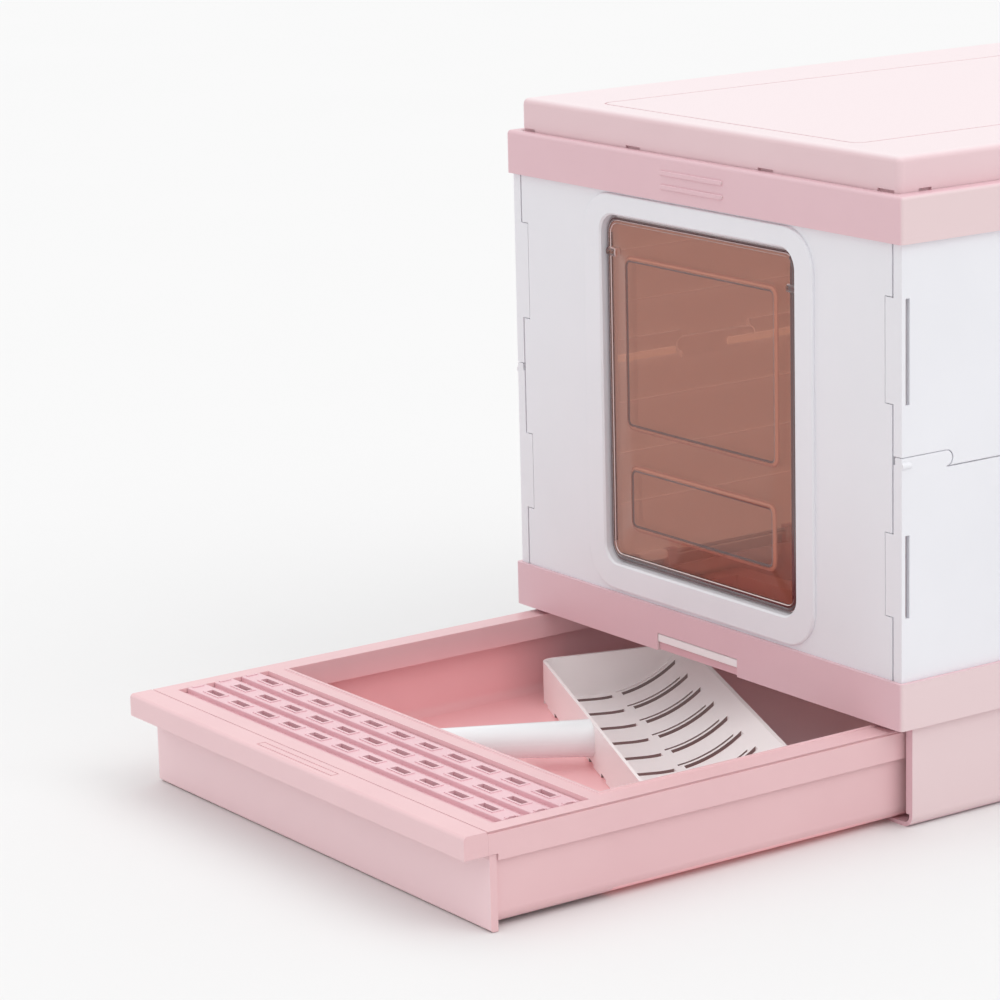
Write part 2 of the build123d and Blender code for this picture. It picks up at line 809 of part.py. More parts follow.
def make_latch():
    """Sliding latch: a guided plate, and a thumb bar that fills the notch of the band."""
    x = latch_width / 2
    y0 = front + latch_setback
    low = tub_height + latch_lift
    top = tub_height + latch_height
    latch = block(-x, x, y0, y0 + latch_thickness, low, top)
    bar_x = notch_width / 2 - seat_gap
    bar_low = tub_height + latch_bar_low
    bar_top = tub_height + notch_height - latch_bar_drop
    back = front + band_wall - seat_gap
    bar = block(-bar_x, bar_x, front + latch_bar_setback, back, bar_low, bar_top)
    long_edges = bar.faces().sort_by(Axis.Y)[0].edges().filter_by(Axis.X)
    bar = fillet(long_edges, latch_bar_round)
    face = block(-bar_x, bar_x, front + latch_face_setback, back, low, bar_low + 0.5)
    web_x = x - latch_web_margin
    web = block(-web_x, web_x, back - 0.1, y0 + 0.1, bar_low, top)
    return latch + bar + face + web


def make_lid():
    """Raised lid with rounded edges, a fine groove and a locating skirt."""
    x = half - lid_side_inset
    y = rear - lid_inset
    face = front + lid_front_inset
    shell = block(-x, x, face, y, lid_low, lid_top)
    shell = fillet(upright_edges(shell), lid_corner_radius)
    shell = fillet(shell.faces().sort_by(Axis.Z)[-1].edges(), lid_edge_radius)
    room = block(-x + lid_wall, x - lid_wall, face + lid_wall, y - lid_wall, lid_low - 1, lid_top - lid_wall)
    room = fillet(upright_edges(room), lid_corner_radius - lid_wall)
    lid = shell - room
    groove_y = y - lid_groove_inset_y
    groove_x = x - lid_groove_inset_x
    outer = RectangleRounded(2 * groove_x, 2 * groove_y, lid_groove_radius)
    inner = RectangleRounded(
        2 * (groove_x - lid_groove_width), 2 * (groove_y - lid_groove_width),
        lid_groove_radius - lid_groove_width,
    )
    lid -= extrude(Pos(0, 0, lid_top - lid_groove_depth) * (outer - inner), amount=2)
    skirt_x = shelf_inner - slide_gap
    skirt_y = depth / 2 - shelf_width - slide_gap
    skirt = ring(
        skirt_x, skirt_y, skirt_x - lid_skirt_wall, skirt_y - lid_skirt_wall,
        lid_low - lid_skirt_drop, lid_top - lid_wall + 0.2,
    )
    lid += skirt
    for share in lid_notch_places:
        place = share * half
        lid -= block(
            place - lid_notch_width / 2, place + lid_notch_width / 2, face - 1, face + lid_wall - 0.5,
            lid_low - 1, lid_low + lid_notch_height,
        )
    notch_y = face + lid_notch_place_y
    side_notch = block(
        x - lid_wall + 0.5, x + 1, notch_y - lid_notch_width_y / 2, notch_y + lid_notch_width_y / 2,
        lid_low - 1, lid_low + lid_notch_height,
    )
    lid = lid - side_notch - mirrored(side_notch)
    return lid + make_lid_knuckles(False)


def make_lid_pins():
    y = rear - lid_inset / 2
    z = lid_low + lid_hinge_radius + lid_hinge_lift
    reach = lid_knuckle_length / 2 + slide_gap + lid_ear_length
    pins = [rod(lid_pin_radius, (s - reach, y, z), (s + reach, y, z)) for s in lid_stations()]
    return Compound(children=pins)


def make_tray():
    """Drawer: an open tray with its front plate and overhanging lip."""
    top = rim_top - rim_plate - seat_gap
    shell = block(-tray_half_width, tray_half_width, drawer_back - 1, drawer_rear, tray_bottom, top)
    low_edges = shell.edges().filter_by(Axis.Y).group_by(Axis.Z)[0]
    shell = fillet(low_edges, tray_corner_radius)
    inner_half = tray_half_width - tray_wall
    room = block(-inner_half, inner_half, drawer_back, drawer_rear - tray_wall, tray_base, top + 1)
    room = fillet(room.edges().filter_by(Axis.Y).group_by(Axis.Z)[0], tray_corner_radius - tray_wall)
    tray = shell - room
    fascia_front = drawer_back - fascia_thickness
    fascia = block(-fascia_half_width, fascia_half_width, fascia_front, drawer_back, fascia_lift, top)
    fascia = fillet(fascia.edges().filter_by(Axis.X).group_by(Axis.Z)[0].sort_by(Axis.Y)[0], fascia_radius)
    tray += fascia
    step_top = rim_top - rim_plate
    tray += block(
        -fascia_half_width, fascia_half_width, seam_y - 2, drawer_back,
        top - rim_plate, step_top - seat_gap,
    )
    lip = block(
        -rim_half_width, rim_half_width, lip_front, seam_y - lip_seam_gap,
        rim_top - lip_height, rim_top,
    )
    lip = fillet(lip.edges().filter_by(Axis.X).sort_by(Axis.Y)[0:2].sort_by(Axis.Z)[-1], lip_radius)
    lip_room = block(
        -rim_half_width + rim_wall, rim_half_width - rim_wall, lip_front + rim_wall, seam_y + 1,
        rim_top - lip_height - 1, rim_top - rim_plate,
    )
    lip -= lip_room
    lip -= block(
        -rim_half_width - 1, rim_half_width + 1, seam_y - lip_seam_width, seam_y,
        rim_top - lip_seam_depth, rim_top + 1,
    )
    line_x = grip_line_length / 2
    line_y = lip_front + grip_line_setback
    line_low = rim_top - grip_line_depth
    line = block(-line_x, line_x, line_y, line_y + grip_line_height, line_low, rim_top + 1)
    line -= block(
        -line_x + grip_line_wall, line_x - grip_line_wall, line_y + grip_line_wall,
        line_y + grip_line_height - grip_line_wall, line_low - 1, rim_top + 1,
    )
    tray += lip - line
    join = block(
        -rim_half_width + rim_wall, rim_half_width - rim_wall, fascia_front - 2, seam_y - seat_gap,
        top - rim_plate, rim_top - 1,
    )
    return tray + join


def make_tray_rim():
    """Rim frame that clips over the tray wall and holds the grate."""
    plate_low = rim_top - rim_plate
    y0 = seam_y
    y1 = drawer_rear + rim_half_width - tray_half_width
    plate = block(-rim_half_width, rim_half_width, y0, y1, plate_low, rim_top)
    inner_half_y = drawer_rear - (tray_half_width - rim_inner)
    plate -= block(-rim_inner, rim_inner, tray_mouth, inner_half_y, plate_low - 1, rim_top + 1)
    grate_half = rim_half_width - grate_border
    plate -= block(-grate_half, grate_half, grate_front, grate_rear, plate_low - 1, rim_top + 1)
    skirt = block(
        -rim_half_width, rim_half_width, drawer_back + slide_gap, y1, rim_top - rim_skirt, rim_top - 1)
    skirt -= block(
        -rim_half_width + rim_wall, rim_half_width - rim_wall, drawer_back - 1, y1 - rim_wall,
        rim_top - rim_skirt - 1, rim_top,
    )
    front_skirt = block(
        -rim_half_width, rim_half_width, seam_y, drawer_back + slide_gap + 0.1,
        rim_top - lip_height, rim_top - 1,
    )
    front_skirt -= block(
        -rim_half_width + front_skirt_wall, rim_half_width - front_skirt_wall, seam_y - 1, drawer_back + 2,
        rim_top - lip_height - 1, rim_top)
    inner = block(
        -rim_inner - rim_wall, rim_inner + rim_wall, tray_mouth - rim_wall, inner_half_y + rim_wall,
        rim_top - rim_inner_skirt, rim_top - 1,
    )
    inner -= block(
        -rim_inner, rim_inner, tray_mouth, inner_half_y, rim_top - rim_inner_skirt - 1, rim_top + 1)
    bead = block(
        -rim_inner - rim_bead_width, rim_inner + rim_bead_width, tray_mouth - rim_bead_width,
        inner_half_y + rim_bead_width, rim_top - 0.2, rim_top + rim_bead_rise,
    )
    bead -= block(-rim_inner, rim_inner, tray_mouth, inner_half_y, rim_top - 1, rim_top + 2)
    ledge = block(
        -grate_half - 1, grate_half + 1, grate_front - 1, grate_rear + 1,
        plate_low - grate_ledge, plate_low + 0.1,
    )
    ledge -= block(
        -grate_half + grate_ledge, grate_half - grate_ledge,
        grate_front + grate_ledge, grate_rear - grate_ledge,
        plate_low - grate_ledge - 1, rim_top,
    )
    ledge -= block(
        -grate_half, grate_half, grate_front, grate_rear,
        rim_top - grate_recess - grate_plate - seat_gap, rim_top,
    )
    groove = block(
        rim_half_width - rim_groove_depth, rim_half_width + 1, y0 - 1, y1 + 1,
        rim_top - rim_groove_drop - rim_groove_height, rim_top - rim_groove_drop,
    )
    return plate + skirt + front_skirt + inner + bead + ledge - groove - mirrored(groove)


def make_grate():
    """Step grate: a thin plate with raised bars, and rimmed slots through each bar."""
    grate_half = rim_half_width - grate_border - slide_gap
    y0 = grate_front + slide_gap
    y1 = grate_rear - slide_gap
    plate_top = rim_top - grate_recess
    plate_low = plate_top - grate_plate
    grate = block(-grate_half, grate_half, y0, y1, plate_low, plate_top)
    gap = (y1 - y0 - grate_bars * grate_bar_width) / (grate_bars + 1)
    slot_x = grate_slot_length / 2
    slot_y = grate_slot_width / 2
    count = int((grate_half + slot_x) / grate_slot_pitch)
    for bar in range(grate_bars):
        a = y0 + gap + bar * (grate_bar_width + gap)
        middle = a + grate_bar_width / 2
        raised = block(-grate_half, grate_half, a, a + grate_bar_width, plate_top - 0.3, rim_top)
        long_edges = raised.faces().sort_by(Axis.Z)[-1].edges().filter_by(Axis.X)
        grate += fillet(long_edges, grate_bar_round)
        for index in range(-count, count + 1):
            x = index * grate_slot_pitch
            grate += block(
                max(x - slot_x - grate_slot_rim, -grate_half), min(x + slot_x + grate_slot_rim, grate_half),
                middle - slot_y - grate_slot_rim, middle + slot_y + grate_slot_rim,
                rim_top - 0.3, rim_top + grate_slot_rise,
            )
            grate -= block(
                x - slot_x, x + slot_x, middle - slot_y, middle + slot_y,
                plate_low - 1, rim_top + grate_slot_rise + 1,
            )
    return grate


def scoop_place():
    return Pos(scoop_corner_x, scoop_corner_y, tray_base + seat_gap) * Rot(0, 0, -scoop_turn)


def curve_radius(reach, rise):
    return (reach * reach + rise * rise) / (2 * rise)


def make_scoop_profile(inset, heel):
    """Side profile of the basket: upright back, flat heel, curve up to the lip."""
    reach = scoop_depth - scoop_flat
    radius = curve_radius(reach, scoop_lip_height)
    angle = math.asin(min(1.0, reach / radius))
    r = radius - inset
    y_end = scoop_flat + r * math.sin(angle)
    z_end = inset + r * (1 - math.cos(angle))
    y_mid = scoop_flat + r * math.sin(angle / 2)
    z_mid = inset + r * (1 - math.cos(angle / 2))
    end = inset + heel
    turn = heel * (1 - math.sqrt(0.5))
    top = scoop_back_height + inset
    back = Line((inset, top), (inset, end))
    corner = ThreePointArc((inset, end), (inset + turn, inset + turn), (end, inset))
    flat = Line((end, inset), (scoop_flat, inset))
    bend = ThreePointArc((scoop_flat, inset), (y_mid, z_mid), (y_end, z_end))
    close = Line((y_end, z_end), (inset, top))
    return make_face([back, corner, flat, bend, close])


def make_scoop_slots():
    """The rows of slots: one on the flat heel, a thin and a wide one on the curve."""
    pitch = (scoop_width - 2 * scoop_row_margin) / (scoop_rows - 1)
    heel_end = scoop_heel_slot_start + scoop_heel_slot_length
    curve_end = scoop_curve_slot_start + scoop_curve_slot_length
    wide = scoop_slot_width / 2
    fine = scoop_thin_width / 2
    cuts = []
    for row in range(scoop_rows):
        s = scoop_row_margin + row * pitch
        cuts.append(block(s - wide, s + wide, scoop_heel_slot_start, heel_end, -1, 12))
        cuts.append(block(s - wide, s + wide, scoop_curve_slot_start, curve_end, -1, 33))
        thin = s - scoop_thin_shift
        if thin > scoop_wall + 3:
            cuts.append(block(thin - fine, thin + fine, scoop_curve_slot_start - 3, curve_end - 4, -1, 33))
        notch = scoop_notch_width / 2
        cuts.append(block(s - notch, s + notch, -1, scoop_wall - 0.6, -1, scoop_notch_height))
    return cuts


def round_back_corners(solid, inset, radius):
    """Rounds the two upright corners at the basket's back."""
    for side in (-1, 1):
        x = scoop_width / 2 + side * (scoop_width / 2 - inset)
        centre = x - side * radius
        waste = block(min(x, centre), max(x, centre), inset, inset + radius, -1, 2 * scoop_lip_height)
        solid -= waste - Pos(centre, inset + radius, 0) * Cylinder(radius, 6 * scoop_lip_height)
    return solid


def make_scoop_basket():
    """Wide sifting basket, open at the top, slotted in rows."""
    plane = Plane(origin=(0, 0, 0), x_dir=(0, 1, 0), z_dir=(1, 0, 0))
    outer = extrude(plane * make_scoop_profile(0.0, scoop_foot_radius), amount=scoop_width)
    outer = round_back_corners(outer, 0, scoop_corner_radius)
    inner_plane = Plane(origin=(scoop_wall, 0, 0), x_dir=(0, 1, 0), z_dir=(1, 0, 0))
    inner_profile = make_scoop_profile(scoop_wall, scoop_heel_radius)
    inner = extrude(inner_plane * inner_profile, amount=scoop_width - 2 * scoop_wall)
    inner = round_back_corners(inner, scoop_wall, scoop_corner_radius - scoop_wall)
    basket = outer - inner
    for cut in make_scoop_slots():
        basket -= cut
    middle = scoop_width / 2
    hole = rod(
        tenon_radius + tenon_clearance,
        (middle, -1, handle_axis_height), (middle, scoop_wall + 1, handle_axis_height),
    )
    return scoop_place() * (basket - hole)


def make_scoop_handle():
    """Round tapered handle that rises gently away from the basket."""
    middle = scoop_width / 2
    rise = math.radians(handle_rise)
    overrun = 8.0
    taper = (handle_root_radius - handle_tip_radius) / handle_length
    total = handle_length + overrun
    seat = (Align.CENTER, Align.CENTER, Align.MIN)
    body = Cone(handle_root_radius + taper * overrun, handle_tip_radius, total, align=seat)
    body = fillet(body.faces().sort_by(Axis.Z)[-1].edges(), handle_end_radius)
    axis = Plane(
        origin=(middle, overrun, handle_axis_height - overrun * math.tan(rise)),
        x_dir=(1, 0, 0), z_dir=(0, -math.cos(rise), math.sin(rise)),
    )
    body = axis * body
    reach = handle_root_radius + handle_axis_height
    body -= block(middle - reach, middle + reach, -tenon_clearance, 2 * reach, -reach, 2 * reach)
    tenon = rod(
        tenon_radius, (middle, -1.5, handle_axis_height), (middle, scoop_wall - 0.2, handle_axis_height))
    return scoop_place() * (body + tenon)


right_lower = make_side_half("lower")
right_upper = make_side_half("upper")
mid_pin = make_mid_pin()
low_pin = make_edge_pin(edge_pin_low)
high_pin = make_edge_pin(edge_pin_high)
end_pins = make_end_pins()
latch = make_latch()

nodes = {
    "base_tub": make_tub(),
    "lower_frame": make_lower_frame(),
    "upper_frame": make_upper_frame(),
    "right_lower_wall": right_lower,
    "right_upper_wall": right_upper,
    "left_lower_wall": mirrored(right_lower),
    "left_upper_wall": mirrored(right_upper),
    "right_middle_hinge_pin": mid_pin,
    "left_middle_hinge_pin": mirrored(mid_pin),
    "right_lower_hinge_pin": low_pin,
    "left_lower_hinge_pin": mirrored(low_pin),
    "right_upper_hinge_pin": high_pin,
    "left_upper_hinge_pin": mirrored(high_pin),
    "front_panel": make_front_panel(),
    "front_hinge_pins": end_pins,
    "rear_panel": make_rear_panel(),
    "rear_hinge_pins": turned(end_pins),
    "cat_flap": make_flap(),
    "flap_pins": make_flap_pins(),
    "front_latch": latch,
    "rear_latch": turned(latch),
    "lid": make_lid(),
    "lid_hinge_pins": make_lid_pins(),
    "litter_tray": make_tray(),
    "tray_rim": make_tray_rim(),
    "step_grate": make_grate(),
    "scoop_basket": make_scoop_basket(),
    "scoop_handle": make_scoop_handle(),
}

for name, shape in nodes.items():
    export_step(shape, os.path.join("parts", name + ".step"))
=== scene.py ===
"""Foldable litter box with its drawer pulled out, dressed for a studio picture."""

import math

import bmesh
import bpy
from mathutils import Matrix, Vector


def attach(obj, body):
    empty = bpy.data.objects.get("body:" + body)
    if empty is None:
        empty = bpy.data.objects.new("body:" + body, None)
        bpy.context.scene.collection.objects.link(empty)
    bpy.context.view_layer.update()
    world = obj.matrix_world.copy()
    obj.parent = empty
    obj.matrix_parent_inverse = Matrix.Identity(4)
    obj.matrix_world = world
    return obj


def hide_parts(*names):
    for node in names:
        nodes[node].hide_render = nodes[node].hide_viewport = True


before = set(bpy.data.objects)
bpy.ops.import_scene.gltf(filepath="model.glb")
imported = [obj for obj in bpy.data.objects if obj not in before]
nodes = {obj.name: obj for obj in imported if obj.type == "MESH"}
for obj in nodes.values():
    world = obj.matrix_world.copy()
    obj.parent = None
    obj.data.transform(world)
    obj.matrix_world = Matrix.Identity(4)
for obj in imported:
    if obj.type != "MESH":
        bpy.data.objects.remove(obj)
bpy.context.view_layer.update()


# Camera: a long lens on a stand, a little above the lid, looking down on the
# front right corner. The box is cut off by the right edge of the picture.

camera_place = (1.884395, -1.720103, 0.746479)
camera_turn = math.radians(55.0314)
camera_lift = math.radians(13.4230)
camera_roll = math.radians(-1.4234)

camera_data = bpy.data.cameras.new("camera")
camera_data.sensor_width = 36.0
camera_data.lens = 137.957
camera_data.clip_end = 60.0
camera = bpy.data.objects.new("camera", camera_data)
bpy.context.scene.collection.objects.link(camera)
camera_turned = (
    Matrix.Rotation(camera_turn, 4, "Z")
    @ Matrix.Rotation(math.pi / 2 - camera_lift, 4, "X")
    @ Matrix.Rotation(camera_roll, 4, "Z")
)
camera.matrix_world = Matrix.Translation(camera_place) @ camera_turned
bpy.context.scene.camera = camera


# Base tub: the pink tray-shaped foot that the drawer runs in. One injection
# moulding in polypropylene with a fine satin skin and softly broken edges.

mm = 0.001
flow_lumps = 14.0
skin_lumps = 1600.0
skin_depth = 0.1 * mm
plastic_index = 1.49
weld_reach = 0.002 * mm
crease_angle = 35


class Tone:
    """A socket of a material. Sums written on it add Math nodes to that material."""

    def __init__(self, tree, socket=None):
        self.tree = tree
        self.socket = socket

    def node(self, kind, settings=None, values=None, out=0):
        """Adds a node, sets it, joins or sets its inputs and gives back one output."""
        made = self.tree.nodes.new(kind)
        for name, value in (settings or {}).items():
            setattr(made, name, value)
        for name, value in (values or {}).items():
            if isinstance(value, Tone):
                self.tree.links.new(value.socket, made.inputs[name])
            else:
                made.inputs[name].default_value = value
        return Tone(self.tree, made.outputs[out] if made.outputs else None)

    def sum(self, operation, first, second):
        return self.node("ShaderNodeMath", {"operation": operation}, {0: first, 1: second})

    def __add__(self, other):
        return self.sum("ADD", self, other)

    def __sub__(self, other):
        return self.sum("SUBTRACT", self, other)

    def __rsub__(self, other):
        return self.sum("SUBTRACT", other, self)

    def __mul__(self, other):
        return self.sum("MULTIPLY", self, other)

    def size(self):
        """The same number without its sign."""
        return self.sum("ABSOLUTE", self, 0.0)

    def above(self, level):
        """1 where the number is over a level, else 0."""
        return self.sum("GREATER_THAN", self, level)

    def below(self, level):
        """1 where the number is under a level, else 0."""
        return self.sum("LESS_THAN", self, level)

    def kept(self):
        """The same number, held between 0 and 1."""
        return self.node("ShaderNodeClamp", {}, {"Value": self})

    def along(self, axis):
        """One of the three numbers of a vector."""
        return self.node("ShaderNodeSeparateXYZ", {}, {"Vector": self}, out=axis)


def new_material(name):
    """An empty material, a tone that adds nodes to it, and the tone of its Object coordinates."""
    material = bpy.data.materials.new(name)
    material.use_nodes = True
    material.node_tree.nodes.clear()
    tone = Tone(material.node_tree)
    return material, tone, tone.node("ShaderNodeTexCoord", out="Object")


def shown(red, green, blue):
    """The colour that shows as these screen values, as the shader wants it."""
    channels = [value / 255 for value in (red, green, blue)]
    return tuple(c / 12.92 if c <= 0.04045 else ((c + 0.055) / 1.055) ** 2.4 for c in channels) + (1.0,)


def blend(share, first, second):
    """The first colour where the share is 0, the second where it is 1."""
    return share.node(
        "ShaderNodeMix", {"data_type": "RGBA"}, {"Factor": share, "A": first, "B": second}, out="Result",
    )


def noise(place, scale, detail):
    """Soft noise with so many lumps to the metre."""
    return place.node("ShaderNodeTexNoise", {}, {"Vector": place, "Scale": scale, "Detail": detail})


def eroded_skin(fine, strength):
    """The faint relief that a spark-eroded mould leaves."""
    relief = {"Height": fine, "Strength": strength, "Distance": skin_depth}
    return fine.node("ShaderNodeBump", {}, relief)


def finish_surface(shader):
    """Joins a shader to the material's output."""
    shader.node("ShaderNodeOutputMaterial", {}, {"Surface": shader})


def moulded(name, colour, deep, roughness, inside=None, painted_light=None):
    """Satin plastic: faint flow clouds in the colour, and a spark-eroded skin.

    The colour of inside is a painted glow that stands in for light coming through
    the thin walls of a hollow, and its place is a function of the Object coordinates.
    The last pair paints light: a paler colour where the surface faces some way, by
    the same coordinates.
    """
    material, tone, place = new_material(name)
    cloud = noise(place, flow_lumps, 3.0)
    fine = noise(place, skin_lumps, 2.0)
    base = blend(cloud * 1.6 - 0.3, shown(*colour), shown(*deep))
    # Painted light: a paler colour where the surface faces some way.
    if painted_light:
        share, other = painted_light
        base = blend(share(place), base, shown(*other))
    values = {
        "Base Color": base, "Roughness": fine * 0.10 + (roughness - 0.05),
        "Normal": eroded_skin(fine, 0.06), "IOR": plastic_index,
    }
    # Painted glow: emission that stands in for light through thin walls, where no lamp is.
    if inside:
        hollow, painted_glow = inside
        values["Emission Color"] = blend(hollow(place), (0.0, 0.0, 0.0, 1.0), painted_glow)
        values["Emission Strength"] = 1.0
    finish_surface(tone.node("ShaderNodeBsdfPrincipled", {}, values))
    return material


def soften_edges(piece, width, angle):
    """Rounds the edges that turn by more than an angle, and evens the shading beside them."""
    soften = piece.modifiers.new("edges", "BEVEL")
    soften.width = width
    soften.segments = 2
    soften.limit_method = "ANGLE"
    soften.angle_limit = math.radians(angle)
    shading = piece.modifiers.new("shading", "WEIGHTED_NORMAL")
    shading.keep_sharp = False


def dress(names, material, edge):
    """Puts a material on CAD nodes and breaks their edges by some tenths of a millimetre."""
    for name in names:
        piece = nodes[name]
        for held in piece.material_slots:
            held.material = material
        if edge:
            weld = piece.modifiers.new("weld", "WELD")
            weld.merge_threshold = weld_reach
            soften_edges(piece, edge * mm, crease_angle)


def facing(place, axis):
    """How far the surface looks along an axis, from -1 to 1."""
    return place.node("ShaderNodeTexCoord", out="Normal").along(axis)


# Mask for the painted light on the sides that look right or left.
def faces_sideways(place):
    """1 where the surface looks to the right or to the left."""
    return ((facing(place, "X").size() - 0.4) * 2.0).kept()


# The sides that look right or left are painted paler: painted light, not a colour of the plastic.
shell_pink = moulded(
    "shell_pink_plastic", (231, 195, 202), (226, 188, 196), 0.36, painted_light=(faces_sideways, (230, 206, 208)),
)
dress(["base_tub"], shell_pink, 0.4)


# Bands: the two pink frames that the walls fold between. The lower one clips
# on the tub and the upper one carries the lid. Same plastic as the tub.

# The bands share the tub's painted light on their sides.
dress(["lower_frame", "upper_frame"], shell_pink, 0.3)


# Walls: white panels in two halves a side, hinged at the middle and at both
# bands on thin steel pins, so that the box folds flat. A painted glow on their
# faces into the cabin stands in for light coming through them, and pale strips
# along the middle hinge stand in for its highlights.

cabin_half_width = 194.3 * mm
cabin_half_depth = 237.8 * mm


def cabin_side(place):
    """1 on the faces that look into the cabin, 0 outside."""
    x, y = place.along("X"), place.along("Y")
    return x.size().below(cabin_half_width) * y.size().below(cabin_half_depth)


# Painted glow: emission on the faces inside the cabin, standing in for light through the walls.
panel_white = moulded(
    "panel_white_plastic", (238, 238, 243), (234, 234, 239), 0.34,
    inside=(cabin_side, (0.18, 0.18, 0.18, 1.0)),
)
side_walls = [f"{side}_{half}_wall" for side in ("right", "left") for half in ("lower", "upper")]
dress(side_walls + ["front_panel", "rear_panel"], panel_white, 0.25)


def drawn_steel(name):
    """Hinge wire: bright steel with faint drawing marks."""
    material, tone, place = new_material(name)
    streak = noise(place, 2400.0, 3.0)
    colour = blend(streak, (0.56, 0.56, 0.58, 1.0), (0.68, 0.68, 0.70, 1.0))
    finish_surface(tone.node(
        "ShaderNodeBsdfPrincipled", {},
        {"Base Color": colour, "Metallic": 1.0, "Roughness": streak * 0.2 + 0.22},
    ))
    return material


pin_steel = drawn_steel("hinge_pin_steel")
for side in ("right", "left"):
    dress([f"{side}_{level}_hinge_pin" for level in ("middle", "lower", "upper")], pin_steel, 0)
dress(["front_hinge_pins", "rear_hinge_pins", "flap_pins", "lid_hinge_pins"], pin_steel, 0)


same_point = 0.01 * mm


def finished(bm, name, material, body, edge=0.0, angle=30):
    """Turns the mesh into an object with its material, its edge rounding and its body."""
    bmesh.ops.remove_doubles(bm, verts=bm.verts, dist=same_point)
    bmesh.ops.recalc_face_normals(bm, faces=bm.faces)
    mesh = bpy.data.meshes.new(name)
    bm.to_mesh(mesh)
    bm.free()
    mesh.shade_smooth()
    mesh.materials.append(material)
    piece = bpy.data.objects.new(name, mesh)
    bpy.context.scene.collection.objects.link(piece)
    if edge:
        soften_edges(piece, edge * mm, angle)
    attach(piece, body)
    return piece


# Pale ivory strips on the middle hinge, standing in for its highlights: painted highlights, with a painted
# glow like the walls'.
bar_spans = ((-177.5 * mm, -116.6 * mm), (-70.4 * mm, -14.0 * mm))
bar_thickness = 1.6 * mm
bar_height = 5.0 * mm
bar_x = 190.4 * mm
bar_z = 226.0 * mm

bars_mesh = bmesh.new()
for side in (-1, 1):
    for near, far in bar_spans:
        corners = bmesh.ops.create_cube(bars_mesh, size=1.0)["verts"]
        bmesh.ops.scale(bars_mesh, verts=corners, vec=(bar_thickness, far - near, bar_height))
        bmesh.ops.translate(bars_mesh, verts=corners, vec=(side * bar_x, (near + far) / 2, bar_z))
# Painted highlight colour, and a painted glow inside the cabin.
hinge_highlight_paint = moulded(
    "hinge_bar_painted_highlight", (250, 240, 226), (246, 234, 218), 0.30,
    inside=(cabin_side, (0.34, 0.36, 0.35, 1.0)),
)
finished(bars_mesh, "hinge_highlight_strips", hinge_highlight_paint, "cabinet", 0.4)


# Flap: a see-through smoky brown plate that swings both ways in the door. It
# is moulded in clear polycarbonate with two raised fields and a stepped rim,
# and hangs on two short pins in bosses at its top corners.

flap_half, flap_low, flap_high = 96.6 * mm, 116.5 * mm, 346.0 * mm
flap_front, flap_back = -244.0 * mm, -241.0 * mm
flap_corner = 11.0 * mm
rim_steps = ((1.7, 0.0), (0.6, 0.7), (1.3, 0.0), (0.6, -0.7))
# Widths of the painted shade along the rim, the foot and the right side.
dark_rim, dark_foot, dark_right = 1.7 * mm, 3.6 * mm, 6.4 * mm

field_sizes = ((77.5 * mm, 207.5 * mm, 321.5 * mm), (74.5 * mm, 140.0 * mm, 182.5 * mm))
field_corner = 6.0 * mm
ridge_steps = ((1.1, 1.5), (0.9, 0.0), (1.3, -0.7))
bead_reach = 1.0 * mm
bead_steps = ((0.5, 0.5), (0.5, -0.3))

boss_radius, boss_length = 3.3 * mm, 9.0 * mm
boss_inset = 4.6 * mm
pivot_y, pivot_z = -242.5 * mm, 322.5 * mm


def upright_face(bm, half, low, high, radius, steps):
    """A flat face with rounded corners, standing up and looking forward."""
    corners = bmesh.ops.create_grid(bm, x_segments=1, y_segments=1, size=1.0)["verts"]
    bmesh.ops.scale(bm, verts=corners, vec=(half, (high - low) / 2, 1.0))
    bmesh.ops.rotate(bm, verts=corners, matrix=Matrix.Rotation(math.pi / 2, 3, "X"))
    bmesh.ops.translate(bm, verts=corners, vec=(0.0, flap_front, (low + high) / 2))
    made = bmesh.ops.bevel(
        bm, geom=corners, offset=radius, offset_type="OFFSET", affect="VERTICES",
        segments=steps, profile=0.5, material=-1,
    )
    return [face for vert in made["verts"] for face in vert.link_faces][0]


def step_in(bm, face, steps):
    """Insets a face step by step, each by a width and a rise in millimetres."""
    for width, rise in steps:
        bmesh.ops.inset_region(
            bm, faces=[face], thickness=width * mm, depth=rise * mm,
            use_even_offset=True, use_boundary=True,
        )


flap_mesh = bmesh.new()
bead_mesh = bmesh.new()
plate = upright_face(flap_mesh, flap_half, flap_low, flap_high, flap_corner, 6)
outline = list(plate.edges)
step_in(flap_mesh, plate, rim_steps)
window = list(plate.edges)
bmesh.ops.delete(flap_mesh, geom=[plate], context="FACES_ONLY")
for half, low, high in field_sizes:
    field = upright_face(flap_mesh, half, low, high, field_corner, 4)
    window += list(field.edges)
    step_in(flap_mesh, field, ridge_steps)
    bead = upright_face(
        bead_mesh, half + bead_reach, low - bead_reach, high + bead_reach, field_corner + bead_reach, 4,
    )
    step_in(bead_mesh, bead, bead_steps)
    bmesh.ops.delete(bead_mesh, geom=[bead], context="FACES_ONLY")
bmesh.ops.triangle_fill(flap_mesh, use_beauty=True, edges=window, normal=(0.0, -1.0, 0.0))
sides = bmesh.ops.extrude_edge_only(flap_mesh, edges=outline)["geom"]
rear_loop = [part for part in sides if isinstance(part, bmesh.types.BMVert)]
bmesh.ops.translate(flap_mesh, verts=rear_loop, vec=(0.0, flap_back - flap_front, 0.0))
rear_edges = [part for part in sides if isinstance(part, bmesh.types.BMEdge)]
bmesh.ops.contextual_create(flap_mesh, geom=rear_edges)


